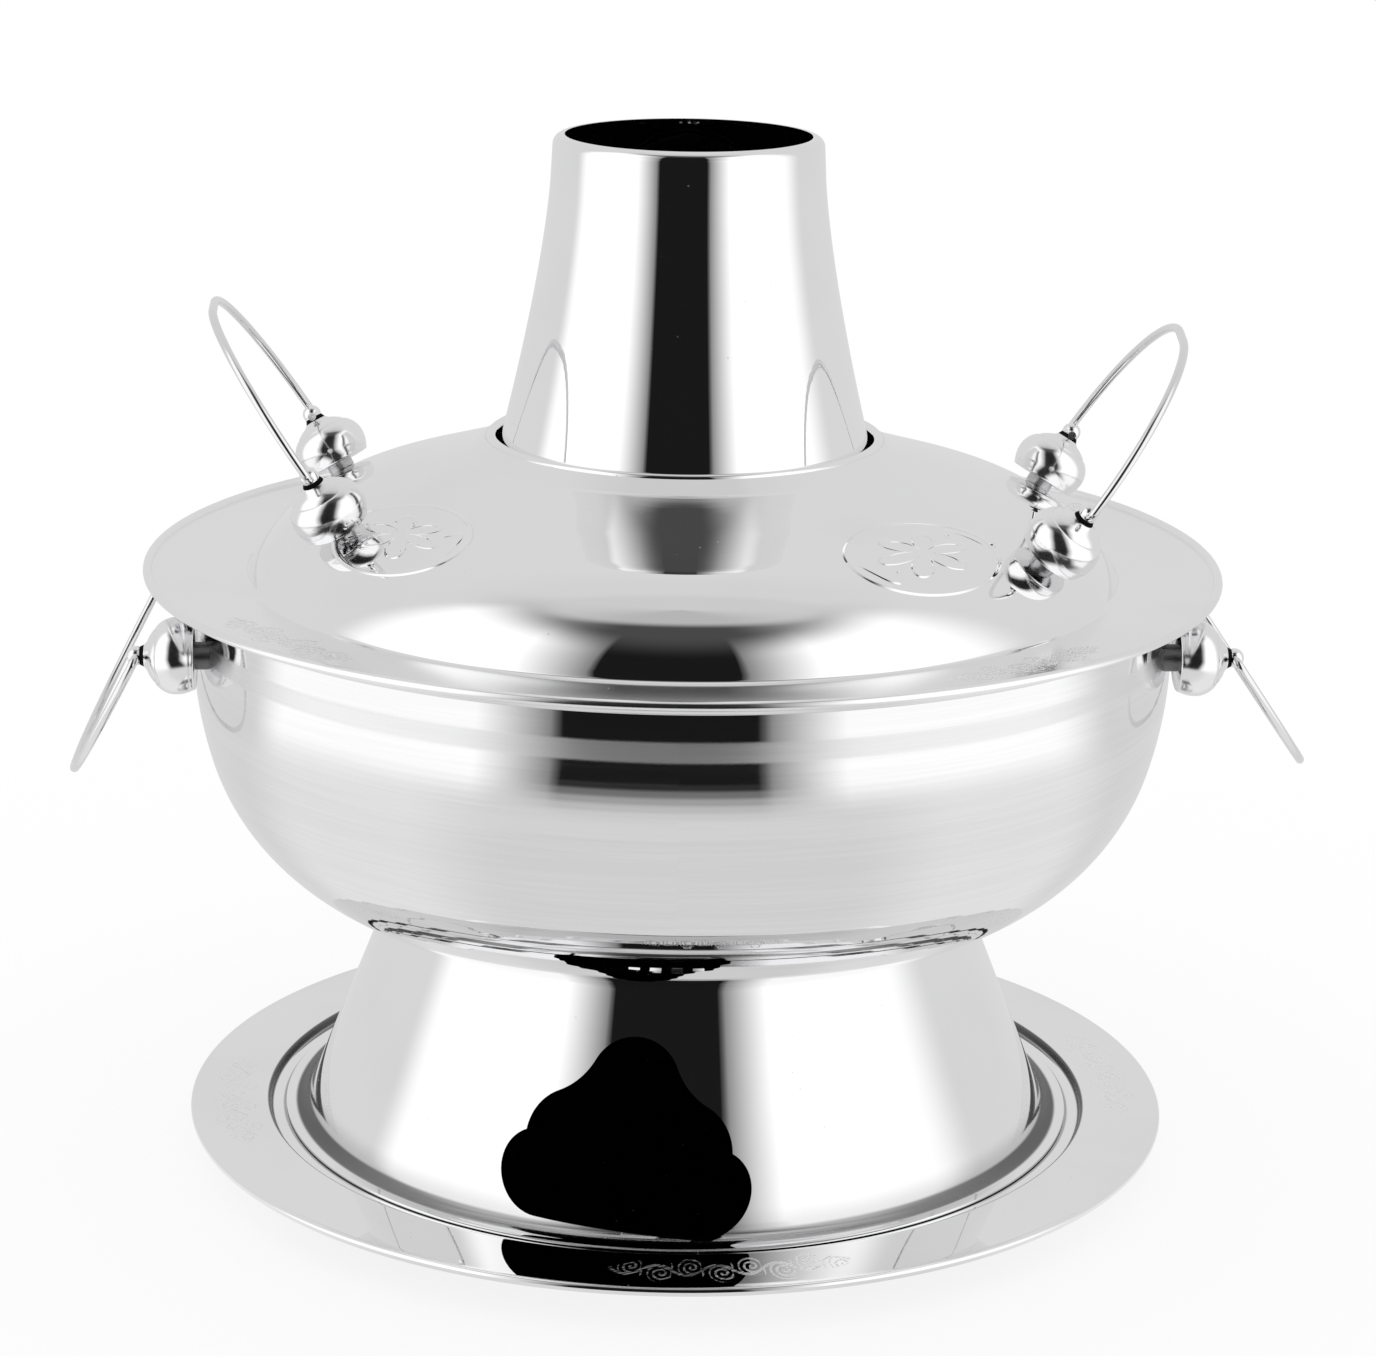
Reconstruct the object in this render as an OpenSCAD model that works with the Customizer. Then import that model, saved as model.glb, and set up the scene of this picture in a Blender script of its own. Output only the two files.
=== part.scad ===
// Chimney hot pot: a bowl with a fire tube on a conical stand, with a ring-shaped lid,
// a sleeve that draws the fire up through the middle, and a tray under it all.
// Millimetres, +Z up, the front is -Y, the origin is the middle of the tray's underside.

/* [Sheet and fits] */
// Thickness of every pressed sheet
sheet = 0.8; // [0.6:0.1:1.2]
// Gap left where one piece rests on another
seat_gap = 0.3; // [0.2:0.05:0.6]
// Gap around a bail's pin in its hole
pin_gap = 0.05; // [0.03:0.01:0.1]

/* [Tray] */
// Outer diameter of the tray over its rolled edge
tray_d = 299; // [285:1:330]
// Diameter of the tray's sunk middle
tray_well_d = 208; // [160:1:216]
// Height of the tray's brim above the table
tray_h = 14; // [10:0.5:20]
// Outer diameter of the ledge that carries the stand
tray_ledge_d = 249.4; // [246:0.2:256]
// How far the ledge lies below the brim
tray_step = 2.2; // [1:0.1:3]
// Radius of the tray's rolled edge
tray_roll = 1.3; // [1:0.1:2]

/* [Stand] */
// Diameter of the stand's turned-out foot
stand_foot_d = 240.6; // [236:0.2:242]
// Diameter of the stand's cone just above its foot
stand_cone_d = 227.4; // [218:0.2:230]
// Radius of the curve from the cone to the foot
stand_flare_r = 6; // [3:0.5:7]
// Diameter of the stand where it meets the bowl
stand_top_d = 174.6; // [168:0.2:186]
// Height of the bowl's underside above the table
bowl_bottom_h = 79.2; // [74:1:95]
// How far the stand's top turns in under the bowl
stand_flange = 18; // [12:1:24]
// How far the air door is turned toward the left
door_turn = -8; // [-20:0.5:20]
// How far the air door was cut askew
door_tilt = 3; // [0:0.5:3]
// Height of the air door's sill above the stand's foot
door_sill = 1.7; // [1.7:0.1:6]
// Scale of the air door's cloud outline
door_scale = 1; // [0.8:0.05:1.05]

/* [Bowl] */
// Outer diameter of the bowl's wall
bowl_d = 291.8; // [286:1:300]
// Height of the bowl from its underside to its flange
bowl_depth = 100.6; // [96:1:115]
// Radius of the curve under the straight wall
bowl_shoulder_r = 118; // [100:1:125]
// Radius of the curve that leads into the flat bottom
bowl_heel_r = 65.7; // [58:1:70]
// Angle where the two curves meet
bowl_curve_split = 16.6; // [12:0.5:20]
// How far the bowl's flange reaches out
bowl_flange = 4.6; // [4:0.1:6]
// Radius of the flange's rolled edge
bowl_roll = 1.5; // [1.2:0.1:1.8]
// Diameter of the hole in the bowl's bottom
bowl_hole_d = 114; // [100:1:118]

/* [Fire tube and grate] */
// Diameter of the fire tube at the bowl's bottom
tube_foot_d = 132; // [128:1:136]
// Diameter of the fire tube at the sleeve's seat
tube_top_d = 107; // [105:1:108]
// Height of the fire tube from the bowl's underside to the sleeve's seat
tube_depth = 131.7; // [128:1:134]
// Diameter of the collar that the sleeve slips over
spigot_d = 99.8; // [96:0.2:100]
// Height of that collar
spigot_h = 26; // [15:1:32]
// Diameter of the fire grate
grate_d = 126; // [120:1:127]
// Thickness of the fire grate
grate_t = 2; // [1.5:0.1:3]
// Distance from slot to slot in the grate
grate_pitch = 12; // [10:0.5:15]
// Width of each slot
grate_slot = 6.5; // [5:0.5:8]

/* [Chimney sleeve] */
// Diameter of the sleeve's foot
chimney_foot_d = 109.2; // [108:0.2:109.6]
// Diameter of the sleeve under its lip
chimney_top_d = 79.2; // [70:1:84]
// Height of the sleeve
chimney_h = 98.3; // [85:1:115]
// Radius of the sleeve's rolled-in lip
chimney_lip_r = 3; // [2.5:0.1:4]
// How strongly the sleeve's side curves in
chimney_curve = 1.37; // [1.1:0.01:1.6]

/* [Lid] */
// Outer diameter of the lid over its rolled edge
lid_d = 320; // [316:1:330]
// Diameter of the lid's hole inside its rolled collar
lid_hole_d = 111.4; // [111:0.2:114]
// Height of the lid's dome above its brim
lid_rise = 41; // [39:0.5:44]
// Angle at which the brim rises outward
lid_brim_angle = 4; // [2:0.5:5]
// Diameter where the dome meets the brim
lid_dome_d = 259.6; // [256:1:264]
// Radius of the dome's shoulder
lid_shoulder_r = 50; // [46:1:52]
// Radius of the lid's rolled edge
lid_roll = 1.35; // [1.1:0.05:1.6]
// Radius of the rolled collar around the hole
lid_collar_roll = 1.6; // [1.2:0.1:2]
// Depth of the ring that centres the lid in the bowl
lid_ring_h = 9; // [6:0.5:12]
// Gap between that ring and the bowl's wall
lid_ring_gap = 1.4; // [1:0.1:2.5]

/* [Knobs] */
// Widest diameter of a knob
knob_d = 22.3; // [20:0.1:23]
// Length of a knob from its flat back to the middle of its ball
knob_len = 17; // [16:0.1:19]
// Radius of the ball at a knob's end
knob_ball_r = 2.8; // [2.5:0.1:3.1]
// Distance of a knob on the bowl from the middle plane
pot_knob_y = 45; // [42:1:50]
// Height of the knobs on the bowl above the table
pot_knob_z = 164.8; // [163.5:0.1:165.5]
// Angle of the lid's left front knob toward the front
lid_left_front = 27; // [22:0.5:30]
// Slope of the dome under that knob
lid_left_front_slope = 29; // [27:0.5:38]
// Angle of the lid's left back knob toward the back
lid_left_back = 20; // [16:0.5:26]
// Slope of the dome under that knob
lid_left_back_slope = 32; // [27:0.5:38]
// Angle of the lid's right front knob toward the front
lid_right_front = 27; // [22:0.5:30]
// Slope of the dome under that knob
lid_right_front_slope = 38.5; // [30:0.5:40]
// Angle of the lid's right back knob toward the back
lid_right_back = 16.5; // [14:0.5:26]
// Slope of the dome under that knob
lid_right_back_slope = 33; // [27:0.5:38]
// Height of the spacer under a lid knob
spacer_h = 2.3; // [2:0.1:3]
// Radius of a spacer
spacer_r = 4; // [3.5:0.1:5]
// How far the bowl's knobs are turned about the middle
pot_turn = 2.7; // [-6:0.1:6]

/* [Screws] */
// Diameter of a knob's screw
screw_d = 4; // [3.5:0.1:4.4]
// Depth of the screw in the knob
screw_in = 6; // [5:0.5:7]
// Radius of the screw's head
head_r = 3.8; // [3.5:0.1:4.2]
// Height of the screw's head
head_h = 2.4; // [2:0.1:3]
// Radius of the washer
washer_r = 5; // [4.5:0.1:5.5]

/* [Bails] */
// Diameter of the bail wire
wire_d = 2.5; // [2:0.1:2.7]
// Height of a bail from its pins to its grip
bail_h = 49.5; // [44:0.5:54]
// Radius of a bail's corners
bail_corner_r = 46; // [30:1:48]
// Radius of the small bend between leg and pin
bail_bend_r = 2.2; // [2:0.1:2.6]
// Distance of a leg from the middle of the knob's ball
bail_leg = 5.2; // [5:0.1:6]
// How far a pin reaches inward past the middle of the ball
pin_in = 4.2; // [3.6:0.1:5]
// Angle between a resting lid bail and the upright
lid_bail_lean = 34; // [20:1:40]
// Angle between the left pot bail at rest and the upright
pot_left_lean = 27.5; // [20:0.5:40]
// Angle between the right pot bail at rest and the upright
pot_right_lean = 34.5; // [20:0.5:40]

/* [Hidden] */
$fn = 120;
tray_r = tray_d / 2;
well_r = tray_well_d / 2;
ledge_r = tray_ledge_d / 2;
ledge_z = tray_h - tray_step;
// Upper face of the stand's foot
stand_base_z = ledge_z + seat_gap + sheet;
stand_foot_r = stand_foot_d / 2;
stand_cone_r = stand_cone_d / 2;
stand_top_r = stand_top_d / 2;
bowl_r = bowl_d / 2;
heel_z = bowl_bottom_h + bowl_heel_r;
wall_z = heel_z + (bowl_shoulder_r - bowl_heel_r) * sin(bowl_curve_split);
shoulder_c = bowl_r - bowl_shoulder_r;
heel_c = shoulder_c + (bowl_shoulder_r - bowl_heel_r) * cos(bowl_curve_split);
flange_z = bowl_bottom_h + bowl_depth;
roll_c = bowl_r + bowl_flange;
roll_z = flange_z - 0.4;
floor_z = bowl_bottom_h + sheet;
tube_foot_r = tube_foot_d / 2;
tube_top_r = tube_top_d / 2;
seat_z = bowl_bottom_h + tube_depth;
spigot_r = spigot_d / 2;
chimney_base = seat_z + seat_gap;
chimney_top = chimney_base + chimney_h;
chimney_foot_r = chimney_foot_d / 2;
chimney_top_r = chimney_top_d / 2;
lid_edge_c = lid_d / 2 - lid_roll;
brim_slope = tan(lid_brim_angle);
// Upper face of the brim just above the bowl's rolled edge
brim_seat = roll_z + bowl_roll + seat_gap + sheet;
dome_r = lid_dome_d / 2;
brim_in = brim_seat - (roll_c - dome_r) * brim_slope;
shoulder_x = dome_r - 44.5 * lid_shoulder_r / 50;
shoulder_z = brim_in - 22.9 * lid_shoulder_r / 50;
collar_c = lid_hole_d / 2 + lid_collar_roll;
collar_z = brim_in + lid_rise - lid_collar_roll;
knob_r = knob_d / 2;
knob_back_r = knob_r - 1.95;
pot_back_x = sqrt(pow(bowl_r, 2) - pow(pot_knob_y - knob_back_r, 2)) + 0.36;
pot_tip_x = pot_back_x + knob_len;
inner_r = bowl_r - sheet;
washer_x = sqrt(pow(inner_r, 2) - pow(pot_knob_y + washer_r, 2)) - 0.9;
wire_r = wire_d / 2;
pin_hole_r = wire_r + pin_gap;
screw_r = screw_d / 2;

// Profile helpers: a path is a list of [radius, height] points
function unit(v) = v / norm(v);
function side_of(v) = [-v[1], v[0]];
function xy(p) = [p[0], p[1]];
function wrap(a) = a > 180 ? a - 360 : a < -180 ? a + 360 : a;
function arc(c, r, a0, a1, n) =
  [for (i = [0:n]) c + r * [cos(a0 + (a1 - a0) * i / n), sin(a0 + (a1 - a0) * i / n)]];
function reversed(p) = [for (i = [len(p) - 1:-1:0]) p[i]];
// Round the corner b of a path a, b, c with radius r
function corner(a, b, c, r) =
  let (u = unit(a - b), v = unit(c - b), h = acos(u * v) / 2)
  let (o = b + unit(u + v) * r / sin(h), s = b + u * r / tan(h) - o, e = b + v * r / tan(h) - o)
  let (a0 = atan2(s[1], s[0]), d = wrap(atan2(e[1], e[0]) - a0))
  arc(o, r, a0, a0 + d, 5);
// Points given as [radius, height, corner radius]
function rounded(p) = [for (i = [0:len(p) - 1])
  each (i == 0 || i == len(p) - 1 || p[i][2] == 0 || p[i][2] == undef) ? [xy(p[i])]
    : corner(xy(p[i - 1]), xy(p[i]), xy(p[i + 1]), p[i][2])];
// A path moved sideways by t, mitred at its corners
function moved(p, t) = [for (i = [0:len(p) - 1])
  let (a = i == 0 ? unit(p[1] - p[0]) : unit(p[i] - p[i - 1]))
  let (b = i == len(p) - 1 ? a : unit(p[i + 1] - p[i]))
  let (m = unit(side_of(a) + side_of(b)))
  p[i] + m * t / (m * side_of(a))];

// A turned sheet: the path and its copy one sheet to the side
module turned_sheet(path, t) {
  rotate_extrude() polygon(concat(path, reversed(moved(path, t))));
}

// A solid ring of round section, such as a rolled edge
module rolled_edge(r, z, roll) {
  rotate_extrude() translate([r, z]) circle(roll);
}

module tray() {
  path = rounded([
    [tray_r - tray_roll, tray_h - 0.2],
    [ledge_r + 0.9, tray_h, 1],
    [ledge_r, ledge_z, 0.7],
    [well_r + 4, ledge_z, 1.5],
    [well_r, sheet, 3],
    [0, sheet]]);
  color("silver") {
    turned_sheet(path, sheet);
    rolled_edge(tray_r - tray_roll, tray_h - 0.2 - tray_roll + 0.35, tray_roll);
  }
}

// Cloud outline of the air door, x across and y up from its sill: a round top, a round
// on each side of the middle and a wider one at each foot, with a hollow under the top
function angle_of(v) = atan2(v[1], v[0]);
function meeting(a, ra, b, rb) =
  let (d = norm(b - a), u = unit(b - a), k = (ra * ra - rb * rb + d * d) / (2 * d))
  a + u * k + side_of(u) * sqrt(ra * ra - k * k);
function onward(p) = [for (i = [1:len(p) - 1]) p[i]];
cloud_top = [0, 37.9];
cloud_mid = [14.5, 20.2];
cloud_foot = [24.6, 11.6];
cloud_top_r = 13.1;
cloud_mid_r = 15.4;
cloud_foot_r = 11.6;
cloud_waist_r = 22;
cloud_waist = meeting(cloud_top, cloud_top_r + cloud_waist_r,
  cloud_mid, cloud_mid_r + cloud_waist_r);
cloud_cusp = meeting(cloud_mid, cloud_mid_r, cloud_foot, cloud_foot_r);
cloud_half = concat(
  arc(cloud_foot, cloud_foot_r, -90, angle_of(cloud_cusp - cloud_foot), 10),
  onward(arc(cloud_mid, cloud_mid_r, angle_of(cloud_cusp - cloud_mid),
    angle_of(cloud_waist - cloud_mid), 7)),
  onward(arc(cloud_waist, cloud_waist_r, angle_of(cloud_mid - cloud_waist),
    angle_of(cloud_top - cloud_waist), 6)),
  onward(arc(cloud_top, cloud_top_r, angle_of(cloud_waist - cloud_top), 90, 8)));
module door_outline() {
  polygon(concat(cloud_half, onward(reversed([for (p = cloud_half) [-p[0], p[1]]]))));
}

module stand() {
  path = rounded([
    [stand_foot_r, stand_base_z],
    [stand_cone_r, stand_base_z, stand_flare_r],
    [stand_top_r, bowl_bottom_h, 1],
    [stand_top_r - stand_flange, bowl_bottom_h]]);
  color("silver") difference() {
    turned_sheet(path, sheet);
    rotate([0, 0, door_turn]) translate([0, -55, stand_base_z + door_sill])
      rotate([90, 0, 0]) linear_extrude(height = 80) rotate(-door_tilt) scale(door_scale)
      door_outline();
  }
}

// A place on the bowl's wall, its +Z pointing out of the wall
module pot_place(side, end) {
  rotate([0, 0, pot_turn + (side < 0 ? 180 : 0)])
    translate([0, side * end * pot_knob_y, pot_knob_z]) rotate([0, 90, 0]) children();
}

// Direction and slope of a lid knob's place on the dome
function lid_angle(side, end) = side < 0
  ? (end < 0 ? 180 + lid_left_front : 180 - lid_left_back)
  : (end < 0 ? -lid_right_front : lid_right_back);
function lid_slope(side, end) = side < 0
  ? (end < 0 ? lid_left_front_slope : lid_left_back_slope)
  : (end < 0 ? lid_right_front_slope : lid_right_back_slope);
// A point straight above that place, at height h over the dome
function lid_point(side, end, h) =
  let (a = lid_angle(side, end), s = lid_slope(side, end), r = shoulder_x + (lid_shoulder_r + h) * sin(s))
  [r * cos(a), r * sin(a), shoulder_z + (lid_shoulder_r + h) * cos(s)];

// A place on the lid's dome, its +Z pointing straight out of the dome
module lid_place(side, end) {
  translate(lid_point(side, end, 0))
    rotate([0, lid_slope(side, end), lid_angle(side, end)]) children();
}

// The hinge line through a side's two lid knobs, along +Y, with +X pointing outward
module lid_hinge(side) {
  a = lid_point(side, -side, spacer_h + knob_len);
  b = lid_point(side, side, spacer_h + knob_len);
  line = unit(b - a);
  translate((a + b) / 2) rotate([asin(line[2]), 0, atan2(line[1], line[0]) - 90]) children();
}
function lid_half_span(side) =
  norm(lid_point(side, 1, spacer_h + knob_len) - lid_point(side, -1, spacer_h + knob_len)) / 2;

module four_pot_places() {
  for (side = [-1, 1]) for (end = [-1, 1]) pot_place(side, end) children();
}

module four_lid_places() {
  for (side = [-1, 1]) for (end = [-1, 1]) lid_place(side, end) children();
}

module bowl() {
  path = concat(
    [[roll_c, flange_z - sheet]],
    arc([bowl_r + 1.2, flange_z - sheet - 1.2], 1.2, 90, 180, 4),
    arc([shoulder_c, wall_z], bowl_shoulder_r, 0, -bowl_curve_split, 8),
    arc([heel_c, heel_z], bowl_heel_r, -bowl_curve_split - 5, -90, 14),
    [[bowl_hole_d / 2, bowl_bottom_h]]);
  color("silver") difference() {
    union() {
      turned_sheet(path, -sheet);
      rolled_edge(roll_c, roll_z, bowl_roll);
    }
    four_pot_places() cylinder(r = screw_r + 0.3, h = bowl_r + 10);
  }
}

module fire_tube() {
  path = rounded([
    [tube_foot_r + 7, floor_z + sheet],
    [tube_foot_r + 0.2, floor_z + sheet, 1.5],
    [tube_top_r, seat_z, 0.9],
    [spigot_r, seat_z, 0.5],
    [spigot_r - 2.6, seat_z + spigot_h]]);
  color("silver") turned_sheet(path, sheet);
}

module fire_grate() {
  bar_r = grate_d / 2 - 8;
  color("dimgray") translate([0, 0, floor_z]) difference() {
    cylinder(d = grate_d, h = grate_t);
    for (i = [-4:4]) {
      reach = sqrt(pow(bar_r, 2) - pow(i * grate_pitch, 2));
      if (abs(i * grate_pitch) < bar_r - 5)
        translate([i * grate_pitch - grate_slot / 2, -reach, -1])
          cube([grate_slot, 2 * reach, grate_t + 2]);
    }
  }
}

module chimney() {
  lip_z = chimney_top - chimney_lip_r;
  neck_z = lip_z - 7.5;
  span = chimney_foot_r + 0.3 - chimney_top_r;
  straight = chimney_base + 5;
  function side_r(z) = chimney_top_r + 0.4
    + (span - 0.4) * pow((neck_z - z) / (neck_z - straight), chimney_curve);
  path = concat(
    rounded([
      [spigot_r + 0.6, chimney_base],
      [chimney_foot_r, chimney_base, 1],
      [chimney_foot_r, straight]]),
    [for (i = [1:16]) let (z = straight + (neck_z - straight) * i / 16)
      [min(side_r(z), chimney_foot_r - 0.02 * i), z]],
    arc([chimney_top_r - chimney_lip_r, lip_z], chimney_lip_r, 0, 100, 8));
  color("silver") turned_sheet(path, sheet);
}

// Outer face of the lid from its rolled edge to its collar
lid_path = concat(
  rounded([
    [lid_edge_c, brim_in + (lid_edge_c - dome_r) * brim_slope],
    [dome_r, brim_in, 1.5],
    [dome_r - 0.55, brim_in + 0.9]]),
  arc([shoulder_x, shoulder_z], lid_shoulder_r, 30, 74, 12),
  [for (i = [0:8]) let (s = 16 + 11.8 * i / 8)
    [collar_c + 1.9 + 140 * (sin(27.8) - sin(s)),
     collar_z + 0.4 - 140 * (cos(s) - cos(27.8))]]);

module lid() {
  color("silver") difference() {
    union() {
      turned_sheet(lid_path, sheet);
      rolled_edge(lid_edge_c, brim_in + (lid_edge_c - dome_r) * brim_slope, lid_roll);
      rolled_edge(collar_c, collar_z, lid_collar_roll);
    }
    four_lid_places() translate([0, 0, -5]) cylinder(r = screw_r + 0.3, h = 10);
  }
}

module lid_ring() {
  ring_r = inner_r - lid_ring_gap;
  under = brim_in - sheet / cos(lid_brim_angle);
  path = rounded([
    [dome_r + 4, under + 4 * brim_slope],
    [ring_r, under + (ring_r - dome_r) * brim_slope, 1],
    [ring_r, under + (ring_r - dome_r) * brim_slope - lid_ring_h]]);
  color("silver") turned_sheet(path, -sheet);
}

// An acorn knob, its flat back at z = 0 and its ball at the end
module knob_body() {
  up = 10.18;
  down = 7.2;
  path = concat(
    [[0, 0], [knob_back_r, 0]],
    arc([knob_back_r, 0.8], 0.8, -60, -15, 3),
    arc([knob_r - up, 5.5], up, -27, 0, 5),
    arc([knob_r - down, 5.5], down, 9, 52.3, 7),
    [[knob_r - 3.15, 11.2], [knob_r - 3.9, 12.1], [5.6, 13.2], [4.1, 13.9], [3.2, 14.7],
     [knob_ball_r * 0.9, knob_len - 0.9], [0, knob_len - 0.9]]);
  difference() {
    union() {
      rotate_extrude() polygon(path);
      translate([0, 0, knob_len]) sphere(knob_ball_r);
    }
    translate([0, 0, -1]) cylinder(r = screw_r + 0.05, h = screw_in + 1.8);
  }
}

module pot_knob(side, end) {
  color("gainsboro") pot_place(side, end) translate([0, 0, pot_back_x]) difference() {
    knob_body();
    translate([0, 0, knob_len]) rotate([90, 0, 0]) cylinder(r = pin_hole_r, h = 20, center = true);
  }
}

module lid_knob(side, end) {
  color("gainsboro") difference() {
    lid_place(side, end) translate([0, 0, spacer_h]) knob_body();
    lid_hinge(side) translate([0, side * end * lid_half_span(side), 0]) rotate([90, 0, 0])
      cylinder(r = pin_hole_r, h = 20, center = true);
  }
}

module pot_knob_left_front() { pot_knob(-1, -1); }
module pot_knob_left_back() { pot_knob(-1, 1); }
module pot_knob_right_front() { pot_knob(1, -1); }
module pot_knob_right_back() { pot_knob(1, 1); }
module lid_knob_left_front() { lid_knob(-1, -1); }
module lid_knob_left_back() { lid_knob(-1, 1); }
module lid_knob_right_front() { lid_knob(1, -1); }
module lid_knob_right_back() { lid_knob(1, 1); }

module pot_knob_spacers() {
  color("silver") difference() {
    four_pot_places() translate([0, 0, bowl_r * 0.8]) difference() {
      cylinder(r = spacer_r, h = pot_back_x - bowl_r * 0.8);
      translate([0, 0, -1]) cylinder(r = screw_r + 0.3, h = bowl_r);
    }
    cylinder(r = bowl_r + 0.02, h = 2 * pot_knob_z, $fn = 480);
  }
}

module screw(reach) {
  difference() {
    union() {
      translate([0, 0, -head_h]) cylinder(r = head_r, h = head_h);
      cylinder(r = screw_r, h = reach);
    }
    for (a = [0, 90]) rotate([0, 0, a])
      translate([-head_r * 0.6, -0.5, -head_h - 0.1]) cube([head_r * 1.2, 1, 1.1]);
  }
}

module pot_knob_screws() {
  color("gray") four_pot_places() translate([0, 0, washer_x])
    screw(pot_back_x + screw_in - washer_x);
}

module pot_knob_washers() {
  color("gray") difference() {
    four_pot_places() translate([0, 0, washer_x]) difference() {
      cylinder(r = washer_r, h = 12);
      translate([0, 0, -1]) cylinder(r = screw_r + 0.3, h = 20);
    }
    rotate_extrude($fn = 480) translate([inner_r - 0.05, 0]) square([40, 2 * pot_knob_z]);
  }
}

module lid_knob_spacers() {
  color("silver") four_lid_places() translate([0, 0, 0.05]) difference() {
    cylinder(r = spacer_r, h = spacer_h - 0.05);
    translate([0, 0, -1]) cylinder(r = screw_r + 0.3, h = spacer_h + 2);
  }
}

module lid_knob_screws() {
  color("gray") four_lid_places() translate([0, 0, -sheet - 1.15])
    screw(sheet + 1.15 + spacer_h + screw_in);
}

module lid_knob_washers() {
  color("gray") four_lid_places() translate([0, 0, -sheet - 1.15]) difference() {
    cylinder(r = washer_r, h = 0.8);
    translate([0, 0, -1]) cylinder(r = screw_r + 0.3, h = 3);
  }
}

// A wire bail in the XY plane: its pins on the X axis, its grip at y = bail_h
module bail_wire(tip) {
  half = tip + bail_leg;
  turn_r = min(bail_corner_r, bail_h - bail_bend_r - 1, half - 1);
  for (m = [0, 1]) mirror([m, 0, 0]) {
    translate([tip - pin_in, 0, 0]) rotate([0, 90, 0])
      cylinder(r = wire_r, h = bail_leg + pin_in - bail_bend_r);
    translate([half - bail_bend_r, bail_bend_r, 0]) rotate([0, 0, -90])
      rotate_extrude(angle = 90) translate([bail_bend_r, 0]) circle(wire_r);
    translate([half, bail_bend_r, 0]) rotate([-90, 0, 0])
      cylinder(r = wire_r, h = bail_h - turn_r - bail_bend_r);
    translate([half - turn_r, bail_h - turn_r, 0])
      rotate_extrude(angle = 90) translate([turn_r, 0]) circle(wire_r);
    translate([0, bail_h, 0]) rotate([0, 90, 0]) cylinder(r = wire_r, h = half - turn_r);
  }
}

module pot_bail(turn, lean) {
  color("gainsboro") rotate([0, 0, pot_turn + turn]) translate([pot_tip_x, 0, pot_knob_z])
    rotate([0, 180 - lean, 0]) rotate([90, 0, 90]) bail_wire(pot_knob_y);
}

module lid_bail(side) {
  color("gainsboro") lid_hinge(side) rotate([0, lid_bail_lean, 0]) rotate([90, 0, 90])
    bail_wire(lid_half_span(side));
}

module pot_bail_left() { pot_bail(180, pot_left_lean); }
module pot_bail_right() { pot_bail(0, pot_right_lean); }
module lid_bail_left() { lid_bail(-1); }
module lid_bail_right() { lid_bail(1); }

tray();
stand();
bowl();
fire_tube();
fire_grate();
chimney();
lid();
lid_ring();
pot_knob_left_front();
pot_knob_left_back();
pot_knob_right_front();
pot_knob_right_back();
lid_knob_left_front();
lid_knob_left_back();
lid_knob_right_front();
lid_knob_right_back();
pot_knob_spacers();
pot_knob_screws();
pot_knob_washers();
lid_knob_spacers();
lid_knob_screws();
lid_knob_washers();
pot_bail_left();
pot_bail_right();
lid_bail_left();
lid_bail_right();
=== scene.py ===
"""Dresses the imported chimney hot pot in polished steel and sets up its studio."""
import math

import bmesh
import bpy
from bmesh.types import BMEdge, BMVert
from bpy.props import FloatProperty, FloatVectorProperty, IntProperty, PointerProperty
from bpy.types import Operator, Panel, PropertyGroup
from mathutils import Matrix, Vector


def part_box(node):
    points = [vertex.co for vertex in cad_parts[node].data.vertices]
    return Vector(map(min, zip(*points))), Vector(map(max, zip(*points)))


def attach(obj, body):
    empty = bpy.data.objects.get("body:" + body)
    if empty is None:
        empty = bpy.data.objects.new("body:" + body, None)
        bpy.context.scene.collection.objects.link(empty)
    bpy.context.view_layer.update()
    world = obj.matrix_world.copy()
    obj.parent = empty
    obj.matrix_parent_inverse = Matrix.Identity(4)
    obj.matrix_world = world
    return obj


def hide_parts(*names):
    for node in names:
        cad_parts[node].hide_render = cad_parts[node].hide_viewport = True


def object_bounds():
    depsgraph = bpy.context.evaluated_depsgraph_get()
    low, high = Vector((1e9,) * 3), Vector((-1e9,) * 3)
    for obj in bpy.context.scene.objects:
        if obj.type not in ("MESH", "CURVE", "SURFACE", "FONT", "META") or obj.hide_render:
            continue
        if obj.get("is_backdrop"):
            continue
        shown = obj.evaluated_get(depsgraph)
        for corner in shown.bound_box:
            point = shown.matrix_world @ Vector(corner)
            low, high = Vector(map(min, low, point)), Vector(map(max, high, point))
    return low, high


bl_info = {
    "name": "Chimney Hot Pot",
    "version": (1, 0, 0),
    "blender": (4, 5, 0),
    "location": "3D View > Sidebar > Hot Pot",
    "description": "Smooth steel surfaces, finishes and studio for the chimney hot pot",
    "category": "Object",
}

MM = 0.001
TO_DEGREES = 180 / math.pi
SHARP = math.radians(40)  # edges that turn by more than this stay sharp

# Fits that several pieces share, in millimetres
SEAT_GAP = 0.3  # between a loose piece and its seat
FLANGE = 4.6  # from the bowl's wall out to the middle of its rolled rim
BRIM_SLOPE = math.tan(math.radians(4))
DOME_BEND, DOME_IN, DOME_DOWN = 50, 44.5, 22.9  # the dome's radius, and where its centre lies
KNOB_SPREAD = 45  # half the way between the two knobs of one of the bowl's bails
KNOB_CHAMFER = 1.95  # how much narrower a knob's back is than its widest part
KNOB_FOOT = 2.3  # from the dome to the back of a lid knob

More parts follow.
